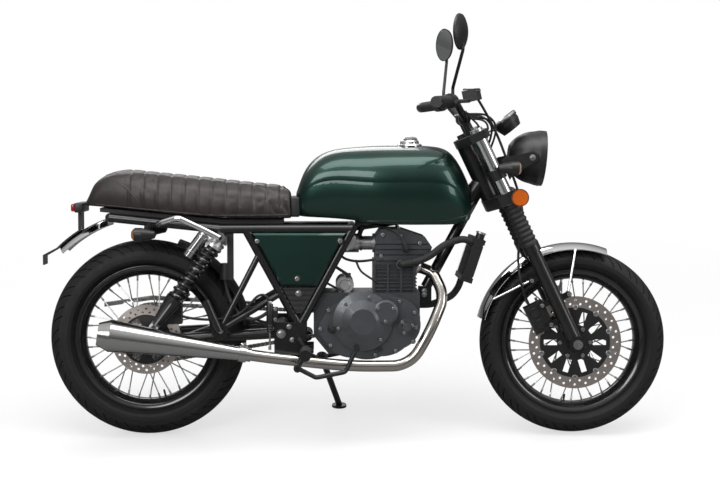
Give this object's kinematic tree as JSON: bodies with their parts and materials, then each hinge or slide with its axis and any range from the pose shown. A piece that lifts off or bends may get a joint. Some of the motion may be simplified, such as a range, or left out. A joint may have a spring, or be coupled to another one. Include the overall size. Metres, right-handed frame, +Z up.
{
  "type": "cafe racer motorcycle",
  "caption": "Small cafe racer motorcycle leaning on its side stand, with spoked wheels, a rounded tank, a long flat seat, a chain drive and a side exhaust.",
  "frame": {"origin": "middle of the bounding box in plan, on the floor that the tyres and the side stand rest on", "axes": "+X forwards, +Z up from the floor, +Y to the rider's left, the side it leans to"},
  "size_m": [1.9568, 0.8036, 1.3301],
  "materials": {
    "tyre": "matte",
    "rim_black": "gloss",
    "spoke_steel": "satin",
    "disc_steel": "satin",
    "bare_steel": "satin",
    "leg_black": "satin",
    "chrome": "polished",
    "rubber": "matte",
    "silver_alloy": "satin",
    "lamp_glass": "clear",
    "amber_lens": "gloss",
    "orange_lens": "gloss",
    "frame_black": "gloss",
    "black_plastic": "matte",
    "tank_green": "gloss",
    "seat_leather": "satin",
    "grey_plastic": "matte",
    "engine_grey": "satin",
    "engine_dark": "satin",
    "exhaust_steel": "polished",
    "red_lens": "gloss"
  },
  "bodies": {
    "chassis": {"rear_axle": "bare_steel", "frame": "frame_black", "swingarm": "frame_black", "shock_dampers": "silver_alloy", "shock_springs": "leg_black", "tank": "tank_green", "filler_cap": "chrome", "seat": "seat_leather", "seat_pan": "black_plastic", "side_covers": "tank_green", "side_panels": "grey_plastic", "crankcase": "engine_grey", "engine_covers": "engine_grey", "cylinder": "engine_dark", "cylinder_head": "engine_grey", "intake": "rubber", "radiator": "black_plastic", "coolant_hoses": "rubber", "header_pipe": "exhaust_steel", "silencer": "exhaust_steel", "foot_pegs": "leg_black", "foot_levers": "leg_black", "chain": "bare_steel", "chain_guard": "chrome", "inner_fender": "black_plastic", "tail_fender": "chrome", "plate_bracket": "black_plastic", "grab_rails": "chrome", "tail_lamp": "red_lens", "rear_indicators": "amber_lens", "rear_brake": "silver_alloy"},
    "fork": {"front_axle": "bare_steel", "fork_sliders": "leg_black", "fork_stanchions": "chrome", "fork_gaiters": "rubber", "fork_clamps": "leg_black", "front_fender": "chrome", "front_caliper": "silver_alloy", "headlamp": "leg_black", "headlamp_lens": "lamp_glass", "lamp_brackets": "leg_black", "front_indicators": "amber_lens", "side_reflectors": "orange_lens", "gauge": "chrome", "handlebar": "frame_black", "grips": "rubber", "controls": "black_plastic", "mirrors": "black_plastic", "brake_hose": "rubber"},
    "front_wheel": {"front_tyre": "tyre", "front_rim": "rim_black", "front_hub": "spoke_steel", "front_disc": "disc_steel"},
    "rear_wheel": {"rear_tyre": "tyre", "rear_rim": "rim_black", "rear_hub": "spoke_steel", "rear_disc": "disc_steel", "rear_sprocket": "bare_steel"},
    "stand": {"side_stand": "frame_black"}
  },
  "joints": [
    {"name": "steering", "type": "hinge", "parent": "chassis", "child": "fork", "pos_m": [0.39115, -0.01548, 0.8081], "axis": [-0.4305, 0.1412, 0.8915], "range_deg": [-38, 38]},
    {"name": "front_wheel_spin", "type": "hinge", "parent": "fork", "child": "front_wheel", "pos_m": [0.68556, -0.0975, 0.29022], "axis": [0, 0.9877, -0.1564], "continuous": true},
    {"name": "rear_wheel_spin", "type": "hinge", "parent": "chassis", "child": "rear_wheel", "pos_m": [-0.65245, -0.09531, 0.30405], "axis": [0, 0.9877, -0.1564], "continuous": true},
    {"name": "side_stand_fold", "type": "hinge", "parent": "chassis", "child": "stand", "pos_m": [-0.10744, 0.00201, 0.20258], "axis": [0.0212, 0.8767, 0.4805], "range_deg": [0, 98]}
  ]
}
